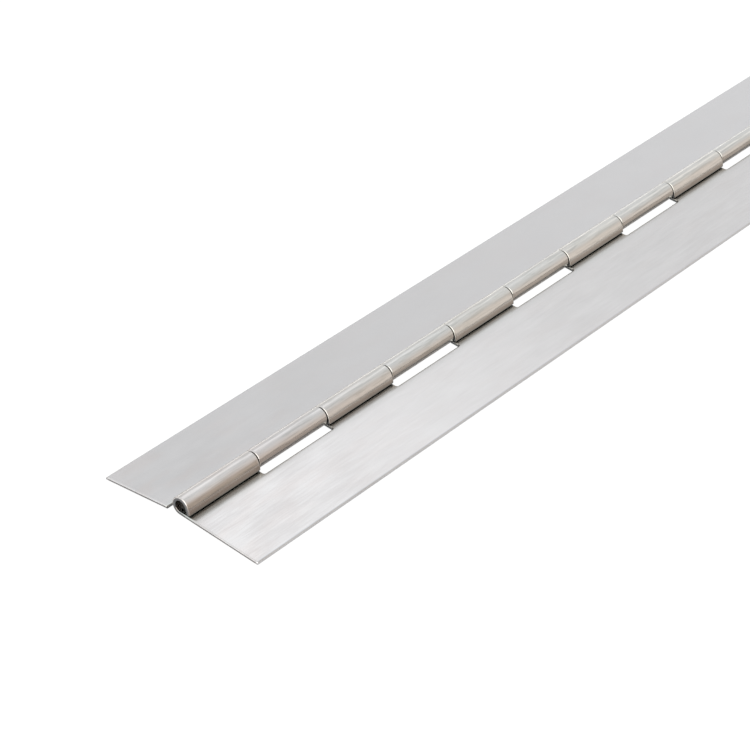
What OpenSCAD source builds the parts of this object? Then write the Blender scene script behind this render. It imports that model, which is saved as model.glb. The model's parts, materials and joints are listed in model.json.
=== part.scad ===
// Continuous (piano) hinge: two leaves sheared from one gauge of sheet, their edges rolled into
// alternating knuckles around a single wire pin. X runs along the pin, Z is up. The origin is under
// the middle of the pin, at the height of the surface that the outer edges of the leaves stand on.

/* [Hinge] */
// Knuckle pitch: the length of pin that each knuckle takes up
knuckle_pitch = 25.4; // [12:0.1:50]
// Number of knuckles, shared equally between the two leaves
knuckle_count = 12; // [2:2:24]
// Width of each leaf, from the pin axis to the outer edge
leaf_width = 25.4; // [12:0.1:60]
// Thickness of the sheet
sheet_t = 1.016; // [0.6:0.001:1.5]
// How far the leaves are folded back from flat, so that the knuckles stand up as a ridge
fold = 9; // [0:0.5:30]

/* [Pin] */
// Diameter of the pin
pin_d = 3.175; // [2:0.005:5]
// Radial clearance between the pin and the inside of a knuckle
pin_fit = 0.03; // [0.02:0.01:0.1]
// How far each end of the pin sits inside the end knuckle
pin_recess = 3; // [0:0.5:10]
// Chamfer on the ends of the pin
pin_chamfer = 0.35; // [0.1:0.05:0.8]

/* [Knuckles] */
// End gap between two neighbouring knuckles
knuckle_gap = 0.3; // [0.1:0.05:0.8]
// Angle from the top of the barrel at which the curl opens out into its looser lip
curl_turn = 45; // [35:1:75]
// Outside radius of the lip, the last stretch of the curl, which comes down on its own leaf
lip_r = 4.8; // [4:0.1:9]
// Crack between the end of the lip and the face of its own leaf
lip_crack = 0.25; // [0.1:0.05:0.5]

/* [Slots] */
// Distance from the pin axis to the bottom of the slots that clear the other leaf's knuckles
slot_reach = 4.43; // [3.9:0.01:8]
// Radius in the bottom corners of the slots
slot_corner_r = 0.6; // [0.2:0.1:1.5]

/* [Hidden] */
$fn = 96;

length = knuckle_pitch * knuckle_count;
bore_r = pin_d / 2 + pin_fit;
barrel_r = bore_r + sheet_t;
droop = fold / 2;
// Height of the pin axis with both outer edges on the ground
axis_z = leaf_width * sin(droop) + barrel_r * cos(droop);
// The curl starts straight down and is round as far as curl_end. There the lip takes over, about
// a centre further back on the same radius, and runs on to lip_end.
curl_start = -90;
curl_end = 90 + curl_turn;
lip_centre = (barrel_r - lip_r) * [cos(curl_end), sin(curl_end)];
lip_end = 180 - asin((lip_crack - bore_r - lip_centre[1]) / (lip_r - sheet_t));
// The faces of the lip lie this far inside those of the ring, and its root is sunk into the ring
lip_inset = 0.02;
lip_root = 3;
// The slot cutters run this far past the pin axis
over = 1;
// Flats in each round corner
corner_steps = 6;
// The wedge that cuts a sector out of a ring: its corners, and their distance over the ring's radius
wedge_steps = 6;
wedge_reach = 2;

// Points of a round corner: a quarter turn about [cx, cy], anticlockwise from angle a0
function corner(cx, cy, a0) =
    [for (i = [0:corner_steps]) let (a = a0 + 90 * i / corner_steps)
        [cx, cy] + slot_corner_r * [cos(a), sin(a)]];

// Ends of knuckle i along the pin: the outermost ends are flush with the leaf, the rest leave the gap
function knuckle_start(i) = i * knuckle_pitch + (i == 0 ? 0 : knuckle_gap / 2);
function knuckle_stop(i) = (i + 1) * knuckle_pitch - (i == knuckle_count - 1 ? 0 : knuckle_gap / 2);

// Part of a ring of sheet, from angle a0 round to angle a1
module ring_sector(outer, inner, a0, a1)
    intersection() {
        difference() {
            circle(r = outer);
            circle(r = inner);
        }
        polygon(concat(
            [[0, 0]],
            [for (i = [0:wedge_steps]) let (a = a0 + (a1 - a0) * i / wedge_steps)
                wedge_reach * outer * [cos(a), sin(a)]]
        ));
    }

// Cross-section of one knuckle: a rolled ring, and the lip that closes it onto its own leaf
module curl_section() {
    ring_sector(barrel_r, bore_r, curl_start, curl_end);
    translate(lip_centre)
        ring_sector(lip_r - lip_inset, lip_r - sheet_t + lip_inset, curl_end - lip_root, lip_end);
}

// One knuckle, rolled from a leaf that lies towards -Y
module knuckle(i)
    translate([knuckle_start(i), 0, 0])
        rotate([90, 0, 90])
            linear_extrude(knuckle_stop(i) - knuckle_start(i))
                curl_section();

// Slot opposite knuckle i of the other leaf, with round corners at its bottom. The slot opposite
// the last knuckle is open at the end of the leaf.
module slot(i) {
    x0 = i * knuckle_pitch - knuckle_gap / 2;
    x1 = i == knuckle_count - 1 ? length + 2 * slot_corner_r : (i + 1) * knuckle_pitch + knuckle_gap / 2;
    corner_y = slot_corner_r - slot_reach;
    polygon(concat(
        [[x1, over], [x0, over]],
        corner(x0 + slot_corner_r, corner_y, 180),
        corner(x1 - slot_corner_r, corner_y, 270)
    ));
}

// Flat part of a leaf, seen from above, with a slot for each odd knuckle
module leaf_outline()
    difference() {
        translate([0, -leaf_width])
            square([length, leaf_width]);
        for (i = [1:2:knuckle_count - 1])
            slot(i);
    }

// One leaf about the pin axis, lying towards -Y, with the even knuckles
module leaf() {
    translate([0, 0, -barrel_r])
        linear_extrude(sheet_t)
            leaf_outline();
    for (i = [0:2:knuckle_count - 1])
        knuckle(i);
}

// A leaf in its place: centred along the pin, tilted until its outer edge meets the ground
module placed_leaf()
    translate([0, 0, axis_z])
        rotate([droop, 0, 0])
            translate([-length / 2, 0, 0])
                leaf();

module right_leaf()
    color([0.74, 0.74, 0.73])
        placed_leaf();

// The left leaf is the same pressing, turned end for end
module left_leaf()
    color([0.66, 0.67, 0.66])
        rotate([0, 0, 180])
            placed_leaf();

module hinge_pin() {
    half = length / 2 - pin_recess;
    r = pin_d / 2;
    color([0.55, 0.55, 0.56])
        translate([0, 0, axis_z])
            rotate([0, 90, 0])
                rotate_extrude()
                    polygon([
                        [0, -half], [r - pin_chamfer, -half], [r, -half + pin_chamfer],
                        [r, half - pin_chamfer], [r - pin_chamfer, half], [0, half]
                    ]);
}

right_leaf();
left_leaf();
hinge_pin();
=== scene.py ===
import json
import math

import bmesh
import bpy
from mathutils import Matrix, Vector


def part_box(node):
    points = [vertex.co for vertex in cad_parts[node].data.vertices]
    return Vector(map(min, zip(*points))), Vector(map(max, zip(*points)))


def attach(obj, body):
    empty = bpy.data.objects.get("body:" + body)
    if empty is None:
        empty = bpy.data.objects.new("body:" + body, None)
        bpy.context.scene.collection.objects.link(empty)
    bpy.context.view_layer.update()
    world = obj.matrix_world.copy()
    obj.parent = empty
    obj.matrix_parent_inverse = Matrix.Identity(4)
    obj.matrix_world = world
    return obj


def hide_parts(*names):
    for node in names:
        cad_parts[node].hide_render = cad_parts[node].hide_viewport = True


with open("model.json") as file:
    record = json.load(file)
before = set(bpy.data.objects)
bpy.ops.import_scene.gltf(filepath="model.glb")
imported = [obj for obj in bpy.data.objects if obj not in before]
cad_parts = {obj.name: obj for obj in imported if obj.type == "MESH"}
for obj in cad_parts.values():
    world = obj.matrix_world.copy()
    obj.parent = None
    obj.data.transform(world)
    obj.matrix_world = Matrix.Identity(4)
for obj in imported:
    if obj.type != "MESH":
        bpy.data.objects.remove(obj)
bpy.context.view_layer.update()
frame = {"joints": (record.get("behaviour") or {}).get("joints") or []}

# Continuous (piano) hinge. Each leaf is made as the real one is: a flat blank with tabs and slots is cut,
# its edges are rounded, and the tabs are then rolled into knuckles about the pin axis.
# Lengths are in metres. X runs along the pin and Z is up, as in the CAD frame. On the blank, X runs along
# and Y across: from the outer edge (-Y), past the root of the tabs (0), to the end of the lip.

MM = 0.001

# Sizes that the frame doesn't state
KNUCKLES = 12
SHEET = 1.016 * MM
DROOP = math.radians(4.5)
KNUCKLE_GAP = 0.3 * MM
SLOT_REACH = 4.43 * MM
SLOT_CORNER = 0.6 * MM
CURL_START = math.radians(-90)
CURL_END = math.radians(90 + 45)
LIP_R = 4.8 * MM
LIP_CRACK = 0.25 * MM
PIN_CHAMFER = 0.35 * MM

# Rounding of the sheet's edges: on its upper face, on its under face, and in the bore, where the upper
# face's rounding is made tighter. That starts at BORE_ROUND_FROM on the blank and is full after a fade.
UPPER_ROUND = 0.42 * MM
UNDER_ROUND = 0.34 * MM
BORE_ROUND = 0.12 * MM
BORE_ROUND_FROM = -3.6 * MM
BORE_ROUND_FADE = 3 * MM
PIN_EDGE_ROUND = 0.06 * MM

# How finely the meshes are divided
EDGE_SEGMENTS = 4
PIN_EDGE_SEGMENTS = 2
CORNER_STEPS = 10
CURL_STEPS = 60
LIP_STEPS = 8
FADE_STEPS = 4
PIN_SIDES = 48
# Distance from a corner of the leaf to the next vertex along its edges
SUPPORT = 0.7 * MM
# Scale of the UV maps, which give the metal the direction of its grain
UV_PER_METRE = 10

# Sizes that follow from the frame
leaf_low, leaf_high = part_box("right_leaf")
pin_low, pin_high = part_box("hinge_pin")
AXIS_Z = frame["joints"][0]["pos_m"][2]
LENGTH = leaf_high.x - leaf_low.x
NEAR_END = -LENGTH / 2
PITCH = LENGTH / KNUCKLES
BARREL_R = leaf_high.z - AXIS_Z
BORE_R = BARREL_R - SHEET
MID_R = BARREL_R - SHEET / 2
PIN_R = (pin_high.z - pin_low.z) / 2
PIN_HALF = (pin_high.x - pin_low.x) / 2
LEAF_WIDTH = (BORE_R * math.sin(DROOP) - leaf_low.y) / math.cos(DROOP)
CURL_LENGTH = MID_R * (CURL_END - CURL_START)
LIP_CENTRE = (BARREL_R - LIP_R) * Vector((0, math.cos(CURL_END), math.sin(CURL_END)))
LIP_MID_R = LIP_R - SHEET / 2
LIP_END = math.pi - math.asin((LIP_CRACK - BORE_R - LIP_CENTRE.z) / (LIP_R - SHEET))
LIP_LENGTH = LIP_MID_R * (LIP_END - CURL_END)
BLANK_END = CURL_LENGTH + LIP_LENGTH

# Relief of the steel, in its material: the dip of the sheet beside the knuckles, the dents in the leaf
# and in the knuckles, and the grain
DIP_DEPTH = 0.19 * MM
LEAF_DENTS = 0.02 * MM
CURL_DENTS = 0.10 * MM
GRAIN_DEPTH = 0.02 * MM
GRAIN_STRENGTH = 0.05
# The dip beside the later knuckles, as a share of the one beside the first
LATER_DIP = 0.55

# Noise in the steel: how many cells it has per metre along, across and up
GRAIN_CELLS = (90, 7000, 7000)
LINE_CELLS = (110, 1700, 1700)
STREAK_CELLS = (75, 480, 480)
CLOUD_CELLS = (75, 110, 110)
PATCH_CELLS = (70, 240, 240)
DENT_CELLS = (110, 330, 330)
# Values of the noise over which its effect goes from one end to the other, and a wider pair
NOISE_SPAN = (0.3, 0.7)
WIDE_SPAN = (0.25, 0.75)
# What the noise does to the tone, which goes from 0 for the dark colour to 1 for the light one. The fine
# lines change it by a share of what the streaks do, and it varies more at the near end than farther on.
GRAIN_TONES = (0.42, 0.58)
CLOUD_TONES = (-0.25, 0.25)
LINE_SHARE = 0.7
NEAR_WEAR = 1.6
FAR_WEAR = 0.45
# What it does to the roughness, up and down
GRAIN_ROUGHNESS = 0.04
STREAK_ROUGHNESS = 0.02
# How strongly the grain stretches reflections across itself
ANISOTROPY = 0.6

# Tints of the steel, as factors on its colour
WARM_TINT = (1.0, 0.975, 0.965)
CURL_TINT = (0.970, 0.955, 0.940)
CURL_FAR_TINT = (1.015, 1.034, 1.012)
CURL_LINE_TINT = (0.86, 0.865, 0.86)
# Painted shade: the knuckle darker on its lower part, from its root to about four millimetres round the
# curl
CURL_ROOT_SHADE = (0.78, 0.735, 0.70)
# Painted shade colour: the strip of leaf beside the knuckles, where their shaded side is reflected, made
# cooler and a little darker
BESIDE_CURL_SHADE_TINT = (0.91, 0.985, 0.955)
OUTER_EDGE_TINT = (0.90, 0.925, 0.95)
# Painted shade: the last two millimetres of the lip darker, low down where it comes close to the leaf
LIP_SHADE = (0.62, 0.58, 0.55)
# Painted shade: the last half millimetre of the lip darker still, beside the crack to the leaf
LIP_END_SHADE = (0.55, 0.55, 0.55)
# Painted shade: a darker band low on the lip of the first knuckle
FIRST_KNUCKLE_SHADE = (0.70, 0.66, 0.62)
# How much of the warm tint the patches get
PATCH_WARMTH = 0.6
# How much of the painted shade on the first knuckle's lip is kept nearer the lip's end
FIRST_KNUCKLE_SHADE_KEPT = 0.4
# Where relief and tints start and are full, as places across the blank
CURL_SPAN = (0, 1 * MM)
CURL_DENTS_SPAN = (-1 * MM, 1 * MM)
CURL_ROOT_SHADE_SPAN = (4.5 * MM, 3.7 * MM)
BESIDE_CURL_SPAN = (-6.8 * MM, -2.4 * MM)
OUTER_EDGE_SPAN = (0.6 * MM - LEAF_WIDTH, 0.3 * MM - LEAF_WIDTH)
LIP_SHADE_SPAN = (BLANK_END - 2.0 * MM, BLANK_END - 1.1 * MM)
LIP_END_SHADE_SPAN = (BLANK_END - 0.6 * MM, BLANK_END - 0.1 * MM)
FIRST_KNUCKLE_SHADE_SPAN = (BLANK_END - 3.3 * MM, BLANK_END - 2.6 * MM)
FIRST_KNUCKLE_SHADE_EASE_SPAN = (BLANK_END - 2.2 * MM, BLANK_END - 1.2 * MM)
# The same along the hinge
WEAR_SPAN = (NEAR_END, NEAR_END + 0.23 * LENGTH)
FIRST_KNUCKLE_SPAN = (NEAR_END + PITCH, NEAR_END + PITCH - 1 * MM)
FIRST_DIP_SPAN = (NEAR_END + PITCH, NEAR_END + 1.6 * PITCH)
CURL_FAR_SPAN = (NEAR_END + 0.1 * LENGTH, NEAR_END + 0.3 * LENGTH)
# The same in the noise of the fine lines and of the patches
CURL_LINE_SPAN = (0.48, 0.62)
PATCH_SPAN = (0.45, 0.65)

# Camera: the point it looks at, its distance, the bearing (from X towards Y), dip and roll of its view, and
# its lens and sensor, which are in millimetres
CAMERA_AIM = Vector((-73.3, 5.7, 0)) * MM
CAMERA_DISTANCE = 658.5 * MM
CAMERA_BEARING = math.radians(39.365)
CAMERA_DIP = math.radians(34.40)
CAMERA_ROLL = math.radians(1.57)
CAMERA_LENS = 120.94
CAMERA_SENSOR = 36

# Overhead light: its colour where a direction faces LIGHT_FROM by this much, from -1 to 1
LIGHT_FROM = Vector((0.35, 0.30, 0.89)).normalized()
OVERHEAD = [
    (-1.00, (0.32, 0.28, 0.25)),
    (-0.20, (0.50, 0.43, 0.37)),
    (0.08, (0.84, 0.745, 0.66)),
    (0.21, (0.86, 0.775, 0.70)),
    (0.35, (0.80, 0.73, 0.68)),
    (0.47, (0.84, 0.785, 0.745)),
    (0.59, (0.89, 0.85, 0.82)),
    (0.70, (0.90, 0.88, 0.86)),
    (0.80, (0.87, 0.865, 0.86)),
    (0.85, (0.88, 0.88, 0.885)),
    (0.90, (0.90, 0.905, 0.91)),
    (0.97, (0.99, 0.995, 1.00)),
]
# Softboxes: direction, the facing at which one starts and is full, and its colour
SOFTBOXES = [
    (Vector((-0.78, 0.20, 0.60)).normalized(), 0.40, 0.80, (1.02, 1.02, 1.02)),
    (Vector((-0.75, -0.40, 0.53)).normalized(), 0.75, 0.92, (2.30, 2.24, 2.12)),
    (Vector((0.50, 0.36, 0.79)).normalized(), 0.955, 0.985, (1.21, 1.21, 1.22)),
    (Vector((0.79, 0.09, 0.61)).normalized(), 0.985, 0.997, (1.25, 1.22, 1.19)),
    (Vector((0.90, 0.35, 0.30)).normalized(), 0.89, 1.00, (0.94, 0.94, 0.945)),
    (Vector((0.79, -0.60, 0.10)).normalized(), 0.95, 0.99, (0.98, 0.89, 0.82)),
]
# Low white backdrop behind the hinge: where it starts and is full, in the Z and Y of a direction
BACKDROP_LOW_SPAN = (0.22, 0.08)
BACKDROP_BEHIND_SPAN = (0.2, 0.5)
BACKDROP = (1.7, 1.7, 1.7)

# Table: its size, the height of the white one that the camera sees, and that of the greyer one in the
# reflections. The white one glows and is a little matte. The tone of the greyer one changes between two
# distances from the pin, lighter near it as a painted pool of light, and it gives back part of that tone
# as a glow, which is painted light.
TABLE_SIZE = 6.0
TABLE_SEEN_Z = -0.02 * MM
TABLE_REFLECTED_Z = -1 * MM
TABLE_WHITE_GLOW = 0.98
TABLE_WHITE_MATTE = (0.08, 0.08, 0.08, 1)
TABLE_SPAN = (30 * MM, 70 * MM)
TABLE_NEAR_COLOUR = (0.80, 0.79, 0.79, 1)
TABLE_FAR_COLOUR = (0.38, 0.345, 0.32, 1)
TABLE_GLOW = 0.25


# ---------------------------------------------------------------- flat blank

def knuckle_start(i):
    """Near end of knuckle i along the blank; the outermost ends are flush with the leaf."""
    return i * PITCH + (KNUCKLE_GAP / 2 if i else 0)


def knuckle_stop(i):
    return (i + 1) * PITCH - (KNUCKLE_GAP / 2 if i < KNUCKLES - 1 else 0)


def round_corner(cx, cy, start):
    """Points of a quarter turn about (cx, cy), anticlockwise from the angle start."""
    angles = [start + math.pi / 2 * k / CORNER_STEPS for k in range(CORNER_STEPS + 1)]
    return [(cx + SLOT_CORNER * math.cos(a), cy + SLOT_CORNER * math.sin(a)) for a in angles]


def flat_outline():
    """Outline of the flat part, anticlockwise: the outer edge, then back along the slots and tab roots."""
    corner_y = SLOT_CORNER - SLOT_REACH
    points = [(x, -LEAF_WIDTH) for x in (0, SUPPORT, LENGTH - SUPPORT, LENGTH)]
    points += [(LENGTH, SUPPORT - LEAF_WIDTH), (LENGTH, -SLOT_REACH - SUPPORT)]
    for i in reversed(range(KNUCKLES)):
        if i % 2 == 0:
            points += [(knuckle_stop(i), 0), (knuckle_start(i), 0)]
            continue
        x0 = knuckle_stop(i - 1)
        if i == KNUCKLES - 1:
            points.append((LENGTH, -SLOT_REACH))
        else:
            x1 = knuckle_start(i + 1)
            points += reversed(round_corner(x1 - SLOT_CORNER, corner_y, 1.5 * math.pi))
        points += reversed(round_corner(x0 + SLOT_CORNER, corner_y, math.pi))
    fade = [BORE_ROUND_FROM + BORE_ROUND_FADE * k / FADE_STEPS for k in reversed(range(FADE_STEPS + 1))]
    return points + [(0, y) for y in fade + [SUPPORT - LEAF_WIDTH]]


def curl_stations():
    """Distances across the blank, from the tab's root, at which the curl has a row of vertices."""
    rows = [CURL_LENGTH * k / CURL_STEPS for k in range(CURL_STEPS)]
    return rows + [CURL_LENGTH + LIP_LENGTH * k / LIP_STEPS for k in range(LIP_STEPS + 1)]


def blank_mesh():
    """The flat blank at its full thickness, lying in the XY plane with its tabs towards +Y."""
    bm = bmesh.new()
    corners = {}

    def vert(x, y):
        key = (round(x, 9), round(y, 9))
        if key not in corners:
            corners[key] = bm.verts.new((x, y, -SHEET / 2))
        return corners[key]

    bm.faces.new([vert(*p) for p in flat_outline()])
    rows = curl_stations()
    for i in range(0, KNUCKLES, 2):
        x0, x1 = knuckle_start(i), knuckle_stop(i)
        for a, b in zip(rows, rows[1:]):
            bm.faces.new([vert(x0, a), vert(x1, a), vert(x1, b), vert(x0, b)])
    bottom = list(bm.faces)
    raised = bmesh.ops.extrude_face_region(bm, geom=bottom, use_keep_orig=True)["geom"]
    top_verts = [g for g in raised if isinstance(g, bmesh.types.BMVert)]
    bmesh.ops.translate(bm, verts=top_verts, vec=(0, 0, SHEET))
    bmesh.ops.recalc_face_normals(bm, faces=bm.faces)
    return bm


def is_wall(face):
    """True for the cut faces of the blank, which stand upright."""
    return abs(face.normal.z) < 0.5


def round_edges(bm):
    """Rounds the under and upper edges of the blank, and then makes the rounding in the bore tighter."""
    for side, radius in ((-1, UNDER_ROUND), (1, UPPER_ROUND)):
        rims = []
        for e in bm.edges:
            level = all(abs(v.co.z - side * SHEET / 2) < SHEET / 100 for v in e.verts)
            if level and any(is_wall(f) for f in e.link_faces):
                rims.append(e)
        bmesh.ops.bevel(
            bm, geom=rims, offset=radius, offset_type="OFFSET", segments=EDGE_SEGMENTS,
            profile=0.5, affect="EDGES", clamp_overlap=True, material=0,
        )
        bm.normal_update()
    # Just past the rounding, so that all of its vertices are inside
    reach = UPPER_ROUND * 1.01
    for v in bm.verts:
        depth = SHEET / 2 - v.co.z
        knuckle = int(v.co.x // PITCH)
        inwards = min(v.co.x - knuckle_start(knuckle), knuckle_stop(knuckle) - v.co.x)
        if v.co.y < BORE_ROUND_FROM or depth > reach or inwards > reach:
            continue
        fade = min((v.co.y - BORE_ROUND_FROM) / BORE_ROUND_FADE, 1)
        tighter = (1 - BORE_ROUND / UPPER_ROUND) * fade
        middle_x = (knuckle_start(knuckle) + knuckle_stop(knuckle)) / 2
        v.co.x += math.copysign(inwards * tighter, v.co.x - middle_x)
        v.co.z += depth * tighter


def roll(point):
    """Where a point of the blank goes when the tabs are rolled about the pin axis."""
    x, across, n = point
    if across <= 0:
        return Vector((x, across, n - MID_R))
    if across <= CURL_LENGTH:
        angle = CURL_START + across / MID_R
        return Vector((x, 0, 0)) + (MID_R - n) * Vector((0, math.cos(angle), math.sin(angle)))
    angle = CURL_END + (across - CURL_LENGTH) / LIP_MID_R
    return Vector((x, 0, 0)) + LIP_CENTRE + (LIP_MID_R - n) * Vector((0, math.cos(angle), math.sin(angle)))


# ---------------------------------------------------------------- pieces

def mesh_object(name, bm, materials):
    mesh = bpy.data.meshes.new(name)
    bm.to_mesh(mesh)
    bm.free()
    for m in materials:
        mesh.materials.append(m)
    obj = bpy.data.objects.new(name, mesh)
    bpy.context.scene.collection.objects.link(obj)
    return obj


def weight_normals(obj, weight):
    """Keeps the flat faces flat beside their rounded edges; a weight over 50 favours the large faces."""
    modifier = obj.modifiers.new("weighted normals", "WEIGHTED_NORMAL")
    modifier.weight = weight
    modifier.keep_sharp = True


def make_leaf(name, turned, body, node, materials):
    """A leaf with its knuckles, from (steel, cut edge, bore) materials; turned end for end or not."""
    bm = blank_mesh()
    for f in bm.faces:
        outer_edge = f.calc_center_median().y < SHEET - LEAF_WIDTH
        f.material_index = 1 if is_wall(f) and not outer_edge else 0
    round_edges(bm)
    uv = bm.loops.layers.uv.new("grain")
    for f in bm.faces:
        f.smooth = True
        middle = f.calc_center_median()
        inside_curl = middle.y > MID_R and middle.z > 0
        if inside_curl:
            # The bore, in steel darkened as painted shade, and the rounding at its two ends
            f.material_index = 2 if abs(f.normal.z) >= 0.95 else 1
        for loop in f.loops:
            loop[uv].uv = (loop.vert.co.y * UV_PER_METRE, loop.vert.co.x * UV_PER_METRE)
    place = (
        Matrix.Rotation(math.pi if turned else 0, 4, "Z")
        @ Matrix.Translation((0, 0, AXIS_Z))
        @ Matrix.Rotation(DROOP, 4, "X")
        @ Matrix.Translation((NEAR_END, 0, 0))
    )
    for v in bm.verts:
        v.co = place @ roll(v.co)
    obj = mesh_object(name, bm, materials)
    weight_normals(obj, weight=100)
    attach(obj, body)
    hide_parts(node)


def make_pin(name, body, node, material):
    """Straight wire with chamfered ends, turned about the pin axis."""
    outline = [(-PIN_HALF, PIN_R - PIN_CHAMFER), (-PIN_HALF + PIN_CHAMFER, PIN_R)]
    outline += [(-x, r) for x, r in reversed(outline)]
    bm = bmesh.new()
    rings = []
    for x, r in outline:
        ring = []
        for k in range(PIN_SIDES):
            a = 2 * math.pi * k / PIN_SIDES
            ring.append(bm.verts.new((x, r * math.cos(a), AXIS_Z + r * math.sin(a))))
        rings.append(ring)
    for near, far in zip(rings, rings[1:]):
        for k in range(PIN_SIDES):
            j = (k + 1) % PIN_SIDES
            bm.faces.new([near[k], near[j], far[j], far[k]])
    bm.faces.new(rings[0])
    bm.faces.new(rings[-1])
    bmesh.ops.recalc_face_normals(bm, faces=bm.faces)
    rims = [e for e in bm.edges if e.calc_face_angle() > 0.5]
    bmesh.ops.bevel(
        bm, geom=rims, offset=PIN_EDGE_ROUND, segments=PIN_EDGE_SEGMENTS, profile=0.5, affect="EDGES",
    )
    uv = bm.loops.layers.uv.new("grain")
    for f in bm.faces:
        f.smooth = True
        for loop in f.loops:
            co = loop.vert.co
            loop[uv].uv = (math.atan2(co.z - AXIS_Z, co.y), co.x * UV_PER_METRE)
    obj = mesh_object(name, bm, [material])
    weight_normals(obj, weight=50)
    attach(obj, body)
    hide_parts(node)


# ---------------------------------------------------------------- nodes

# Sockets of the Mix node when it mixes colours: the factor, the two colours, and the result
MIX_FACTOR, MIX_A, MIX_B, MIX_RESULT = 0, 6, 7, 2


class Nodes:
    """The node tree of a material or world, with short calls for the nodes used here."""

    def __init__(self, owner):
        owner.use_nodes = True
        self.tree = owner.node_tree
        self.tree.nodes.clear()

    def put(self, node, socket, value):
        """Links another node's output to an input, or sets the input to a plain value."""
        if isinstance(value, bpy.types.NodeSocket):
            self.tree.links.new(value, node.inputs[socket])
        else:
            node.inputs[socket].default_value = value

    def add(self, kind, **inputs):
        node = self.tree.nodes.new(kind)
        for name, value in inputs.items():
            self.put(node, name.replace("_", " "), value)
        return node

    def noise(self, coords, scale, detail, roughness, seed):
        """Noise stretched by scale = (along, across, up), in cells per metre. Returns 0 to 1."""
        shift = (seed, seed * 0.7, seed * 1.3)
        mapping = self.add("ShaderNodeMapping", Vector=coords, Scale=scale, Location=shift)
        noise = self.add("ShaderNodeTexNoise", Vector=mapping.outputs["Vector"], Scale=1.0, Detail=detail,
                         Roughness=roughness)
        return noise.outputs["Fac"]

    def spread(self, value, low, high, to_low, to_high, smooth=False):
        """Maps value from low..high to to_low..to_high."""
        node = self.add("ShaderNodeMapRange", Value=value, From_Min=low, From_Max=high, To_Min=to_low,
                        To_Max=to_high)
        node.interpolation_type = "SMOOTHSTEP" if smooth else "LINEAR"
        return node.outputs["Result"]

    def rise(self, value, span, smooth=False):
        """0 at the start of a span, rising to 1 at its end."""
        return self.spread(value, *span, 0, 1, smooth)

    def maths(self, operation, a, b):
        node = self.tree.nodes.new("ShaderNodeMath")
        node.operation = operation
        self.put(node, 0, a)
        self.put(node, 1, b)
        return node.outputs[0]

    def plus(self, a, b):
        return self.maths("ADD", a, b)

    def times(self, a, b):
        return self.maths("MULTIPLY", a, b)

    def dot(self, vector, fixed):
        """Dot product with a fixed vector: for two directions, how far one faces the other."""
        node = self.tree.nodes.new("ShaderNodeVectorMath")
        node.operation = "DOT_PRODUCT"
        self.put(node, 0, vector)
        self.put(node, 1, fixed)
        return node.outputs["Value"]

    def blend(self, factor, a, b, kind="MIX"):
        node = self.tree.nodes.new("ShaderNodeMix")
        node.data_type = "RGBA"
        node.blend_type = kind
        self.put(node, MIX_FACTOR, factor)
        self.put(node, MIX_A, a)
        self.put(node, MIX_B, b)
        return node.outputs[MIX_RESULT]

    def tint(self, factor, colour, shade):
        """The colour multiplied by a shade, as far as factor says."""
        return self.blend(factor, colour, self.blend(1.0, colour, (*shade, 1), "MULTIPLY"))

    def bump(self, height, strength, distance, **before):
        """Normals that follow a height, on top of those of an earlier bump if there is one."""
        node = self.add("ShaderNodeBump", Strength=strength, Distance=distance, Height=height, **before)
        return node.outputs["Normal"]

    def sum(self, a, b):
        """Two shaders added together."""
        node = self.tree.nodes.new("ShaderNodeAddShader")
        self.put(node, 0, a.outputs[0])
        self.put(node, 1, b.outputs[0])
        return node

    def finish(self, shader, kind="Material"):
        out = self.tree.nodes.new("ShaderNodeOutput" + kind)
        self.put(out, "Surface", shader.outputs[0])


# ---------------------------------------------------------------- materials

def dip_along(n, along):
    """How strongly the sheet dips beside the knuckles: most at the first one."""
    return n.spread(along, *FIRST_DIP_SPAN, 1, LATER_DIP, smooth=True)


def tinted_by_place(n, colour, along, across, fine):
    """Changes of the steel's colour from place to place, some of them painted shade: along is X, across is
    Y on the blank.
    """
    on_leaf = n.spread(across, *CURL_SPAN, 1, 0)
    on_curl = n.rise(across, CURL_SPAN)
    colour = n.tint(on_curl, colour, CURL_TINT)
    colour = n.tint(n.times(on_curl, n.rise(along, CURL_FAR_SPAN)), colour, CURL_FAR_TINT)
    lines = n.rise(fine, CURL_LINE_SPAN, smooth=True)
    colour = n.tint(n.times(on_curl, lines), colour, CURL_LINE_TINT)
    # Painted shade colour: the strip beside the knuckles cooler and a little darker, most at the first
    # knuckle
    beside = n.times(n.rise(across, BESIDE_CURL_SPAN, smooth=True), dip_along(n, along))
    colour = n.tint(n.times(on_leaf, beside), colour, BESIDE_CURL_SHADE_TINT)
    # Painted shade: the knuckle darker on its lower part, from its root round to about four millimetres
    root = n.rise(across, CURL_ROOT_SHADE_SPAN, smooth=True)
    colour = n.tint(n.times(on_curl, root), colour, CURL_ROOT_SHADE)
    colour = n.tint(n.rise(across, OUTER_EDGE_SPAN), colour, OUTER_EDGE_TINT)
    # Painted shade: the end of the lip darker, low down where it comes close to the leaf
    colour = n.tint(n.rise(across, LIP_SHADE_SPAN, smooth=True), colour, LIP_SHADE)
    # Painted shade: the very end of the lip darker, beside the crack to the leaf
    colour = n.tint(n.rise(across, LIP_END_SHADE_SPAN, smooth=True), colour, LIP_END_SHADE)
    # Painted shade: a darker band low on the first knuckle's lip, weaker nearer the lip's end
    first_knuckle_shade = n.times(n.rise(across, FIRST_KNUCKLE_SHADE_SPAN, smooth=True),
                   n.spread(across, *FIRST_KNUCKLE_SHADE_EASE_SPAN, 1, FIRST_KNUCKLE_SHADE_KEPT, smooth=True))
    return n.tint(n.times(n.rise(along, FIRST_KNUCKLE_SPAN), first_knuckle_shade), colour, FIRST_KNUCKLE_SHADE)


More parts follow.
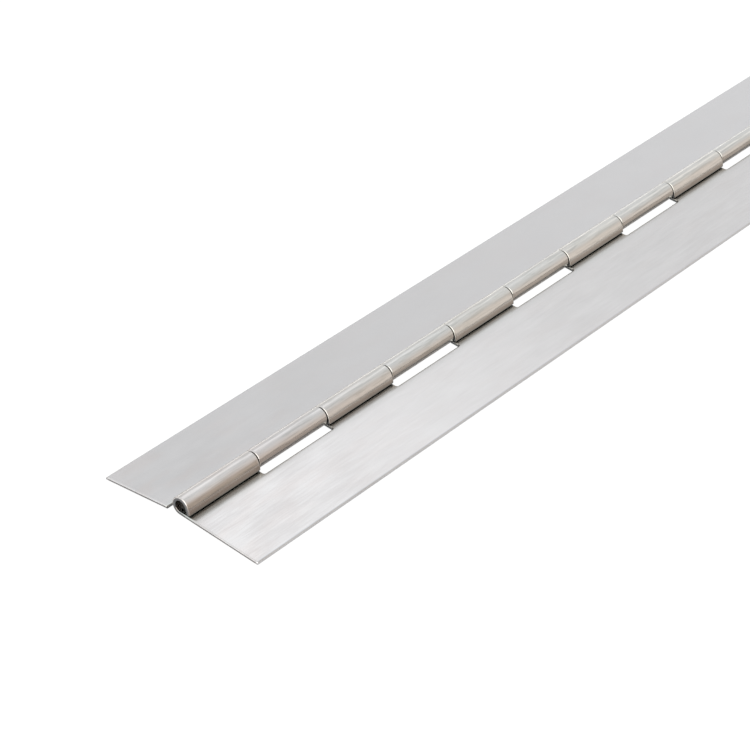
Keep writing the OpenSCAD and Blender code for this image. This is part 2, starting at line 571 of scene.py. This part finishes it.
def steel_relief(n, coords, along, across, grain, seed):
    """Normals of the sheet: the dip beside the knuckles, shallow dents and the grain."""
    dip = n.times(n.spread(across, *BESIDE_CURL_SPAN, 0, -DIP_DEPTH, smooth=True), dip_along(n, along))
    dents = n.times(n.noise(coords, DENT_CELLS, 2, 0.5, seed + 9),
                    n.spread(across, *CURL_DENTS_SPAN, LEAF_DENTS, CURL_DENTS))
    dented = n.bump(dents, 1.0, 1.0, Normal=n.bump(dip, 1.0, 1.0))
    return n.bump(grain, GRAIN_STRENGTH, GRAIN_DEPTH, Normal=dented)


def brushed_steel(name, light, dark, roughness, streaks, seed):
    """Mill-brushed stainless sheet: fine grain along X, wider streaks, and slow changes of tone."""
    material = bpy.data.materials.new(name)
    n = Nodes(material)
    coords = n.add("ShaderNodeTexCoord").outputs["Object"]
    along = n.dot(coords, (1, 0, 0))
    across = n.dot(n.add("ShaderNodeUVMap").outputs["UV"], (1 / UV_PER_METRE, 0, 0))
    grain = n.noise(coords, GRAIN_CELLS, 3, 0.6, seed)
    fine = n.noise(coords, LINE_CELLS, 3, 0.6, seed + 17)
    streak = n.noise(coords, STREAK_CELLS, 4, 0.6, seed + 3)
    cloud = n.noise(coords, CLOUD_CELLS, 2, 0.5, seed + 7)
    patches = n.noise(coords, PATCH_CELLS, 2, 0.5, seed + 13)
    uneven = n.plus(n.spread(streak, *NOISE_SPAN, -streaks, streaks),
                    n.spread(cloud, *NOISE_SPAN, *CLOUD_TONES))
    uneven = n.plus(uneven, n.spread(fine, *NOISE_SPAN, -LINE_SHARE * streaks, LINE_SHARE * streaks))
    wear = n.spread(along, *WEAR_SPAN, NEAR_WEAR, FAR_WEAR)
    tone = n.plus(n.times(uneven, wear), n.spread(grain, *WIDE_SPAN, *GRAIN_TONES))
    colour = n.blend(tone, (*dark, 1), (*light, 1))
    colour = n.tint(n.times(n.spread(patches, *PATCH_SPAN, 0, PATCH_WARMTH), wear), colour, WARM_TINT)
    colour = tinted_by_place(n, colour, along, across, fine)
    rough = n.plus(n.spread(grain, *WIDE_SPAN, roughness - GRAIN_ROUGHNESS, roughness + GRAIN_ROUGHNESS),
                   n.spread(streak, *NOISE_SPAN, -STREAK_ROUGHNESS, STREAK_ROUGHNESS))
    tangent = n.tree.nodes.new("ShaderNodeTangent")
    tangent.direction_type = "UV_MAP"
    tangent.uv_map = "grain"
    shader = n.add("ShaderNodeBsdfPrincipled", Base_Color=colour, Metallic=1.0, Roughness=rough,
                   Anisotropic=ANISOTROPY, Normal=steel_relief(n, coords, along, across, grain, seed),
                   Tangent=tangent.outputs["Tangent"])
    n.finish(shader)
    return material


def lined_metal(name, light, dark, line_cells, cloud_cells, roughness, rough_spread, bump, seed):
    """Metal with fine lines and slow changes of tone; bump is the strength and depth of the lines."""
    material = bpy.data.materials.new(name)
    n = Nodes(material)
    coords = n.add("ShaderNodeTexCoord").outputs["Object"]
    lines = n.noise(coords, line_cells, 3, 0.6, seed)
    cloud = n.noise(coords, cloud_cells, 2, 0.5, seed + 5)
    tone = n.plus(n.spread(lines, *NOISE_SPAN, -0.2, 0.5), n.spread(cloud, *NOISE_SPAN, 0, 0.5))
    colour = n.blend(tone, (*dark, 1), (*light, 1))
    rough = n.spread(lines, *WIDE_SPAN, roughness - rough_spread, roughness + rough_spread)
    n.finish(n.add("ShaderNodeBsdfPrincipled", Base_Color=colour, Metallic=1.0, Roughness=rough,
                   Normal=n.bump(lines, *bump)))
    return material


def sheared_edge():
    """Cut faces of the sheet: lines across the thickness, darker and rougher than the faces."""
    return lined_metal(
        "sheared_edge", light=(0.26, 0.265, 0.27), dark=(0.14, 0.145, 0.15), line_cells=(5000, 5000, 700),
        cloud_cells=(160, 160, 160), roughness=0.34, rough_spread=0.08, bump=(0.3, 0.03 * MM), seed=2,
    )


def drawn_wire():
    """The pin's wire: drawing lines along X."""
    return lined_metal(
        "drawn_wire", light=(0.52, 0.52, 0.51), dark=(0.32, 0.32, 0.32), line_cells=(70, 6000, 6000),
        cloud_cells=(60, 400, 400), roughness=0.35, rough_spread=0.07, bump=(0.25, 0.02 * MM), seed=4,
    )


# ---------------------------------------------------------------- stage, light and camera

def plane(name, size, z, material):
    bm = bmesh.new()
    bmesh.ops.create_grid(bm, x_segments=1, y_segments=1, size=size / 2)
    bmesh.ops.translate(bm, verts=bm.verts, vec=(0, 0, z))
    return mesh_object(name, bm, [material])


def make_floor():
    """White table top as the camera sees it, and under it the greyer one that the metal reflects."""
    white = bpy.data.materials.new("table_white")
    n = Nodes(white)
    glow = n.add("ShaderNodeEmission", Color=(1, 1, 1, 1), Strength=TABLE_WHITE_GLOW)
    matte = n.add("ShaderNodeBsdfDiffuse", Color=TABLE_WHITE_MATTE)
    n.finish(n.sum(glow, matte))
    seen = plane("table_top", TABLE_SIZE, TABLE_SEEN_Z, white)
    seen.visible_glossy = False
    seen.visible_diffuse = False
    seen.visible_shadow = False
    grey = bpy.data.materials.new("table_reflected")
    n = Nodes(grey)
    place = n.add("ShaderNodeTexCoord").outputs["Object"]
    aside = n.maths("ABSOLUTE", n.dot(place, (0, 1, 0)), 0)
    away = n.rise(aside, TABLE_SPAN, smooth=True)
    # Painted pool of light: the reflected table is lighter near the pin than farther away
    colour = n.blend(away, TABLE_NEAR_COLOUR, TABLE_FAR_COLOUR)
    glow = n.add("ShaderNodeEmission", Color=colour, Strength=TABLE_GLOW)
    matte = n.add("ShaderNodeBsdfDiffuse", Color=n.blend(TABLE_GLOW, colour, (0, 0, 0, 1)))
    n.finish(n.sum(glow, matte))
    reflected = plane("table_reflected", TABLE_SIZE, TABLE_REFLECTED_Z, grey)
    reflected.visible_camera = False


def make_world():
    """Soft studio light: brightest overhead, fading to a warm dim room in front of the hinge."""
    world = bpy.data.worlds.new("studio")
    bpy.context.scene.world = world
    n = Nodes(world)
    towards = n.add("ShaderNodeTexCoord").outputs["Generated"]
    ramp = n.add("ShaderNodeValToRGB", Fac=n.rise(n.dot(towards, LIGHT_FROM), (-1, 1)))
    ramp.color_ramp.interpolation = "LINEAR"
    while len(ramp.color_ramp.elements) < len(OVERHEAD):
        ramp.color_ramp.elements.new(1)
    for element, (facing, colour) in zip(ramp.color_ramp.elements, OVERHEAD):
        element.position = (facing + 1) / 2
        element.color = (*colour, 1)
    light = ramp.outputs["Color"]
    for direction, start, full, colour in SOFTBOXES:
        factor = n.rise(n.dot(towards, direction), (start, full), smooth=True)
        light = n.blend(factor, light, (*colour, 1))
    low = n.rise(n.dot(towards, (0, 0, 1)), BACKDROP_LOW_SPAN, smooth=True)
    behind = n.rise(n.dot(towards, (0, 1, 0)), BACKDROP_BEHIND_SPAN, smooth=True)
    light = n.blend(n.times(low, behind), light, (*BACKDROP, 1))
    n.finish(n.add("ShaderNodeBackground", Color=light), "World")


def make_camera():
    across = Vector((math.cos(CAMERA_BEARING), math.sin(CAMERA_BEARING), 0))
    ahead = across * math.cos(CAMERA_DIP) - Vector((0, 0, 1)) * math.sin(CAMERA_DIP)
    data = bpy.data.cameras.new("camera")
    data.sensor_width = CAMERA_SENSOR
    data.lens = CAMERA_LENS
    data.clip_start = 0.01
    data.clip_end = 20
    camera = bpy.data.objects.new("camera", data)
    bpy.context.scene.collection.objects.link(camera)
    turn = ahead.to_track_quat("-Z", "Y").to_matrix().to_4x4() @ Matrix.Rotation(CAMERA_ROLL, 4, "Z")
    camera.matrix_world = Matrix.Translation(CAMERA_AIM - ahead * CAMERA_DISTANCE) @ turn
    bpy.context.scene.camera = camera


make_camera()
make_world()
make_floor()
bpy.context.scene.view_settings.view_transform = "Standard"

cut_edge = sheared_edge()
# Painted shade: the steel of the bore, inside the knuckles, is about half as bright as the leaves' steel
shaded_bore_steel = brushed_steel(
    "shaded_bore_steel", light=(0.36, 0.365, 0.37), dark=(0.24, 0.245, 0.25), roughness=0.36, streaks=0.3, seed=5,
)
right_steel = brushed_steel(
    "right_leaf_steel", light=(0.72, 0.718, 0.72), dark=(0.63, 0.62, 0.62), roughness=0.17, streaks=0.35,
    seed=0,
)
left_steel = brushed_steel(
    "left_leaf_steel", light=(0.685, 0.685, 0.694), dark=(0.63, 0.63, 0.638), roughness=0.17, streaks=0.08,
    seed=11,
)
right_materials = [right_steel, cut_edge, shaded_bore_steel]
left_materials = [left_steel, cut_edge, shaded_bore_steel]
make_leaf("right_leaf_sheet", False, "right_leaf", "right_leaf", right_materials)
make_leaf("left_leaf_sheet", True, "left_leaf", "left_leaf", left_materials)
make_pin("pin_wire", "right_leaf", "hinge_pin", drawn_wire())
